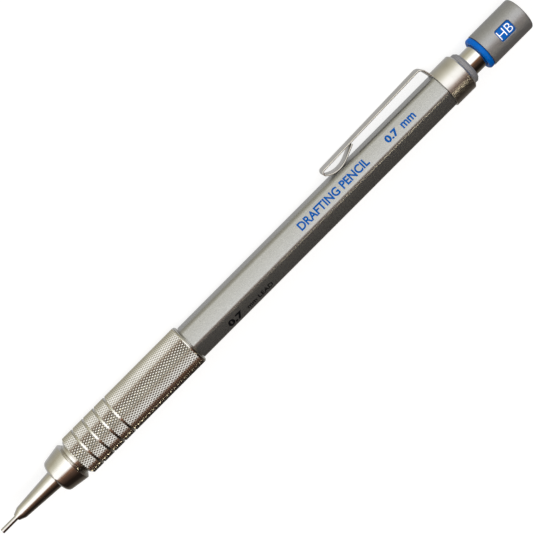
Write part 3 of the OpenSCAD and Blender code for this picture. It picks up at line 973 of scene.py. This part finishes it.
def makeCap():
    # outer skin in (station, angle): a plain grid with a patch left out round the window, the patch
    # filled by rings that run from its border to the window's outline, and a turned end; the wall's
    # thickness and the small rounding of its edges come from modifiers
    front, rear = span("cap")
    radius, endR, columns = capSet["radius"], capSet["endRound"], capSet["columns"]
    wide, patchHalf = capSet["patch"]
    ahead, beside, behind = capSet["rows"]
    middle = rear - capSet["windowFromEnd"]
    centreAngle = math.radians(capSet["windowAngle"])
    stations = np.concatenate([
        np.linspace(front, middle - patchHalf, ahead),
        np.linspace(middle - patchHalf, middle + patchHalf, beside)[1:],
        np.linspace(middle + patchHalf, rear - endR, behind)[1:],
    ])
    angles = centreAngle + (np.arange(columns) - wide / 2) * full / columns
    points = [roundAxis(stations[:, None], radius, angles[None, :]).reshape(-1, 3)]
    quads = gridQuads(len(stations), columns)
    row, column = quads[:, 0] // columns, quads[:, 0] % columns
    inPatch = (row >= ahead - 1) & (row < ahead + beside - 2) & (column < wide)
    quads = [quads[~inPatch]]
    count = len(points[0])
    # the patch's border, walked from the middle of its rear side, and the outline beside it
    around = np.linspace(-wide / 2, wide / 2, wide + 1)[:-1] * full / columns
    along = np.linspace(-patchHalf, patchHalf, beside)[:-1]
    border = np.concatenate([
        np.stack([np.full_like(around, patchHalf), around], -1),
        np.stack([-along, np.full_like(along, -around[0])], -1),
        np.stack([np.full_like(around, -patchHalf), -around], -1),
        np.stack([along, np.full_like(along, around[0])], -1),
    ])
    fine = windowOutline(len(border) * 4)
    heading = np.arctan2(border[:, 1] * radius, border[:, 0])
    fineHeading = np.arctan2(fine[:, 1], fine[:, 0])
    order = np.argsort(fineHeading)
    circle = np.concatenate([fineHeading[order] - full, fineHeading[order], fineHeading[order] + full])
    hole = np.stack([np.interp(heading, circle, np.tile(fine[order, k], 3)) for k in range(2)], -1)
    hole[:, 1] /= radius
    rings, crowding = capSet["patchRings"]
    blend = (np.linspace(0, 1, rings) ** crowding)[:, None, None]
    patch = border[None] * (1 - blend) + hole[None] * blend
    points.append(roundAxis(middle + patch[..., 0], radius, centreAngle + patch[..., 1]).reshape(-1, 3))
    quads.append(gridQuads(rings, len(border), start=count)[:, ::-1])
    count += rings * len(border)
    turn = np.linspace(0, math.pi / 2, 9)
    endRings = np.array(capSet["endRings"])
    endStations = np.concatenate([rear - endR + endR * np.sin(turn), np.full_like(endRings, rear)])
    endRadii = np.concatenate([radius - endR + endR * np.cos(turn), endRings])
    points.append(roundAxis(endStations[:, None], endRadii[:, None], angles[None, :]).reshape(-1, 3))
    quads.append(gridQuads(len(endStations), columns, start=count))
    piece = meshObject("push_cap", np.concatenate(points), np.concatenate(quads), 40, closed=False)

    def endLooksIn(work):
        endFace = max(work.faces, key=lambda face: -face.calc_center_median().x)
        return endFace.normal.x > 0

    facing(piece, endLooksIn)
    wall = piece.modifiers.new("wall", "SOLIDIFY")
    wall.thickness, wall.offset, wall.use_even_offset = capSet["wall"] * mm, -1.0, True
    edge = piece.modifiers.new("edge", "BEVEL")
    edge.width, edge.segments = capSet["edge"] * mm, 3
    edge.limit_method, edge.angle_limit = "ANGLE", math.radians(60)
    finish(piece, "cap", "cap_silver", capSilver, "cap")
    return middle


eraserSet = {"radius": 2.15, "edge": 0.15, "worn": 0.45, "columns": 96}  # edge and worn round its ends


def makeEraser():
    front, rear = span("eraser")
    radius = eraserSet["radius"]
    piece = rod("eraser_plug", [
        (front, 0, 0), (front, radius, eraserSet["edge"]), (rear, radius, eraserSet["worn"]), (rear, 0, 0),
    ], eraserSet["columns"])
    finish(piece, "eraser", "eraser_vinyl", eraserVinyl, "eraser")


makeIndicator()
windowStation = makeCap()
makeEraser()

# ---- return spring ----

springSet = {
    "coil": 1.5,            # radius of the wire's centre line
    "wire": 0.15,           # radius of the wire
    "turns": 11,
    "closed": (1.1, 0.28),  # turns at each end that lie close, and the least they climb, as a share
    "steps": 36,            # round one turn
    "sides": 12,
}


def makeSpring():
    # round wire on a helix: the circle's plane holds the radius and the axis. The first and last turns
    # lie almost flat, as ground ends do
    front, rear = span("return_spring")
    total = springSet["turns"] * springSet["steps"]
    t = np.linspace(0, 1, total + 1)
    turns = t * springSet["turns"]
    closed, least = springSet["closed"]
    rate = np.clip(np.minimum(turns, springSet["turns"] - turns) / closed, least, 1)
    climb = np.concatenate([[0], np.cumsum((rate[1:] + rate[:-1]) / 2)])
    wire = springSet["wire"]
    station = front + wire + (rear - front - 2 * wire) * climb / climb[-1]
    around = np.arange(springSet["sides"]) * full / springSet["sides"]
    radius = springSet["coil"] + wire * np.cos(around)[None, :]
    points = roundAxis(station[:, None] + wire * np.sin(around)[None, :], radius, (turns * full)[:, None])
    middles = points.mean(1, keepdims=True)[[0, -1]].repeat(springSet["sides"], axis=1)
    points = np.concatenate([middles[:1], points, middles[1:]])
    piece = meshObject("return_spring_coil", points, gridQuads(*points.shape[:2]), 50)
    finish(piece, "barrel", "spring_steel", springSteel, "return_spring")
    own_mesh(piece)


makeSpring()
print("rear end and spring done")

# ---- printing ----
# Plain generic words and numbers, pad printed: thin films that lie on the barrel's flats.

inkSet = {
    "film": 0.016,          # mm that the film stands proud
    "sunk": 0.03,           # and reaches in
    "slice": 0.16,          # height of the slices that let it follow a curve
}


def setSpots(mesh, spots):
    mesh.vertices.foreach_set("co", spots.astype(np.float32).ravel())
    mesh.update()


def getSpots(mesh):
    spots = np.zeros(len(mesh.vertices) * 3)
    mesh.vertices.foreach_get("co", spots)
    return spots.reshape(-1, 3)


def letterMesh(words, height, bold):
    # the words as a closed film in mm: x along, y up, z out; letters are height tall, and cut into
    # slices across so that the film can follow a curved surface
    data = bpy.data.curves.new("words", "FONT")
    data.body = words
    data.size = 1.0
    data.offset = bold
    data.resolution_u = 6
    data.extrude = 0.5
    holder = bpy.data.objects.new("words", data)
    bpy.context.scene.collection.objects.link(holder)
    bpy.context.view_layer.update()
    mesh = bpy.data.meshes.new_from_object(holder.evaluated_get(bpy.context.evaluated_depsgraph_get()))
    bpy.data.objects.remove(holder)
    bpy.data.curves.remove(data)
    spots = getSpots(mesh)
    high, low = spots[:, :2].max(axis=0), spots[:, :2].min(axis=0)
    spots[:, :2] = (spots[:, :2] - (high + low) / 2) * height / (high[1] - low[1])
    setSpots(mesh, spots)
    cut = bmesh.new()
    cut.from_mesh(mesh)
    for level in np.arange(-height / 2, height / 2, inkSet["slice"])[1:]:
        everything = cut.verts[:] + cut.edges[:] + cut.faces[:]
        bmesh.ops.bisect_plane(cut, geom=everything, plane_co=(0, level, 0), plane_no=(0, 1, 0), dist=1e-5)
    cut.to_mesh(mesh)
    cut.free()
    return mesh, getSpots(mesh)


def filmHeight(spots):
    # the top of the film stands proud of the surface, and its underside is sunk in it
    return np.where(spots[:, 2] > 0, inkSet["film"], -inkSet["sunk"])


def newPrint(name, mesh, body, slot, material):
    piece = bpy.data.objects.new(name, mesh)
    bpy.context.scene.collection.objects.link(piece)
    finish(piece, body, slot, material)


def printOnFlat(name, words, front, rear, height, angle, offset, bold, material, slot):
    # fits the words between two stations on a flat that faces the given angle
    mesh, spots = letterMesh(words, height, bold)
    wide = spots[:, 0].max() - spots[:, 0].min()
    station = (front + rear) / 2 + spots[:, 0] * (rear - front) / wide
    across = offset - spots[:, 1]
    out = barrelSet["flat"] - crownDrop(across) + filmHeight(spots)
    turn = math.radians(angle)
    high = out * math.cos(turn) - across * math.sin(turn)
    side = out * math.sin(turn) + across * math.cos(turn)
    setSpots(mesh, place(station, high, side))
    mesh.name = name
    newPrint(name, mesh, "barrel", slot, material)


printSet = [
    # name, words, stations of both ends, letter height, angle of the flat, offset across it, boldness
    # (all in mm and degrees), ink and slot
    ("print_line_blue", "DRAFTING PENCIL", 84.9, 104.0, 1.9, 60, 0.14, 0.03, inkBlue, "indicator_blue"),
    ("print_size_blue", "0.7", 109.2, 112.4, 1.65, 60, 0.14, 0.045, inkBlue, "indicator_blue"),
    ("print_unit_blue", "mm", 113.5, 117.0, 1.3, 60, 0.35, 0.03, inkBlue, "indicator_blue"),
    ("print_size_black", "0.7", 61.4, 65.2, 1.75, 120, 0.45, 0.045, inkBlack, "lead_graphite"),
    ("print_unit_black", "mm LEAD", 66.6, 73.5, 1.1, 120, 0.6, 0.02, inkBlack, "lead_graphite"),
]
for line in printSet:
    printOnFlat(*line)

gradeSet = {"grades": ("HB", "B", "2B", "3B", "4B", "3H", "2H", "H"), "height": 1.88, "bold": -0.012}


def printGrades():
    # each grade is printed on the sleeve, so that it bends round it: up on the letter turns back
    # round the axis by height / radius
    step = full / len(gradeSet["grades"])
    radius = indicatorSet["sleeve"]
    work = bmesh.new()
    for k, grade in enumerate(gradeSet["grades"]):
        mesh, spots = letterMesh(grade, gradeSet["height"], gradeSet["bold"])
        angle = math.radians(capSet["windowAngle"]) + k * step - spots[:, 1] / radius
        setSpots(mesh, roundAxis(windowStation + spots[:, 0], radius + filmHeight(spots), angle))
        work.from_mesh(mesh)
        bpy.data.meshes.remove(mesh)
    mesh = bpy.data.meshes.new("grade_letters")
    work.to_mesh(mesh)
    work.free()
    newPrint("grade_letters", mesh, "indicator", "connector_white", inkWhite)


printGrades()
print("printing done")

# ---- floor and light ----
# The pencil lies on a pale floor. Two broad lamps light the floor and the matt pieces, a narrow one
# leaves a streak along the barrel, and the world gives the metals what they mirror: a long bright strip
# low in front, and a dark ceiling behind.

lightSet = {
    "floor": ("#8E8E8D", "#909090"),
    "glow": 0.78,           # of the floor
    "ground": "#F6F6F6",    # what shows past the floor's edge
    # what the metals mirror, by degrees round the pencil's axis: 0 is level in front, 90 overhead,
    # 180 level behind and -90 straight down
    "surround": [
        (-180, "#4C463F"), (-134, "#8E8D8A"), (-104, "#A6A6A8"), (-82, "#95948F"), (-35, "#9B9684"),
        (-1, "#C8C6B8"), (14, "#F4F3EE"), (24, "#FFFFFF"), (57, "#FFFFFF"), (67, "#7E5A42"),
        (87, "#4A382E"), (120, "#1A1410"), (150, "#1C1713"), (163, "#403A34"), (180, "#4C463F"),
    ],
    "strength": 1.5,
    # small lamps that show as streaks in the gloss, by angle round the axis like the surround
    "streaks": [  # name, degrees, mm from the axis, station in front of it, size in mm, watts, colour
        ("streak_barrel", 104.0, 350.0, 142.0, (18.0, 110.0), 0.035, "#FFF2D0"),
    ],
    "lamps": [  # name, place in m, size in m, watts
        ("lamp_over", (0.0, -0.1, 0.9), 0.9, 4.5),
        ("lamp_front", (0.25, -0.8, 0.5), 0.7, 3.0),
    ],
}


def addFloor():
    points = np.array([[-2, -2, 0], [2, -2, 0], [2, 2, 0], [-2, 2, 0]], float)
    mesh = bpy.data.meshes.new("floor")
    mesh.from_pydata(points.tolist(), [], [[0, 1, 2, 3]])
    floor = bpy.data.objects.new("floor", mesh)
    bpy.context.scene.collection.objects.link(floor)
    # opal acrylic lit from below, as a tracing table is: plain, pale, and hardly shaded
    material, tree, shader = newMaterial("opal acrylic light table")
    grain = noiseAt(tree, onObject(tree, (0.02, 0.02, 0.02)), 2.0)
    tree.links.new(ramp(tree, grain, enumerate(lightSet["floor"])), shader.inputs["Base Color"])
    setShader(shader, Roughness=0.9, Specular_IOR_Level=0.1,
              Emission_Color=colour("#FFFFFF"), Emission_Strength=lightSet["glow"])
    mesh.materials.append(material)
    floor.visible_glossy = False     # the metals mirror the surround instead


def addLamps():
    for name, spot, size, watts in lightSet["lamps"]:
        data = bpy.data.lights.new(name, "AREA")
        data.size, data.energy = size, watts
        lamp = bpy.data.objects.new(name, data)
        lamp.location = spot
        lamp.rotation_euler = (-Vector(spot)).to_track_quat("-Z", "Y").to_euler()
        lamp.visible_glossy = False
        bpy.context.scene.collection.objects.link(lamp)
    for name, angle, away, station, (wide, long), watts, code in lightSet["streaks"]:
        data = bpy.data.lights.new(name, "AREA")
        data.shape, data.size, data.size_y = "RECTANGLE", wide * mm, long * mm
        data.energy, data.color = watts, colour(code)[:3]
        lamp = bpy.data.objects.new(name, data)
        turn = math.radians(angle)
        back, along = Vector((0, -math.cos(turn), math.sin(turn))), Vector((1, 0, 0))
        lamp.matrix_world = Matrix((along.cross(back), along, back)).transposed().to_4x4()
        lamp.location = Vector((pointX - station * mm, axisY, axisZ)) + back * away * mm
        bpy.context.scene.collection.objects.link(lamp)


def addWorld():
    # brightness by direction: the angle round the pencil's axis, mapped from -180..180 degrees to 0..1
    world = bpy.data.worlds.new("studio")
    world.use_nodes = True
    bpy.context.scene.world = world
    tree = world.node_tree
    tree.nodes.clear()
    coords = addNode(tree, "ShaderNodeTexCoord")
    parts = addNode(tree, "ShaderNodeSeparateXYZ", None, {0: coords.outputs["Generated"]})
    front = addNode(tree, "ShaderNodeMath", {"operation": "MULTIPLY"}, {0: parts.outputs["Y"], 1: -1.0})
    angle = addNode(tree, "ShaderNodeMath", {"operation": "ARCTAN2"},
                    {0: parts.outputs["Z"], 1: front.outputs[0]})
    share = addNode(tree, "ShaderNodeMath", {"operation": "MULTIPLY_ADD"},
                    {0: angle.outputs[0], 1: 1 / full, 2: 0.5})
    stops = [(degrees / 360 + 0.5, code) for degrees, code in lightSet["surround"]]
    sky = ramp(tree, share.outputs[0], stops)
    mirrored = addNode(tree, "ShaderNodeBackground", None, {"Color": sky, "Strength": lightSet["strength"]})
    plain = addNode(tree, "ShaderNodeBackground", None,
                    {"Color": colour(lightSet["ground"]), "Strength": 1.0})
    path = addNode(tree, "ShaderNodeLightPath")
    mixed = addNode(tree, "ShaderNodeMixShader", None,
                    {0: path.outputs["Is Camera Ray"], 1: mirrored.outputs[0], 2: plain.outputs[0]})
    output = addNode(tree, "ShaderNodeOutputWorld")
    tree.links.new(mixed.outputs[0], output.inputs["Surface"])


addFloor()
addLamps()
addWorld()
bpy.context.scene.view_settings.view_transform = "Standard"
print("floor and light done")
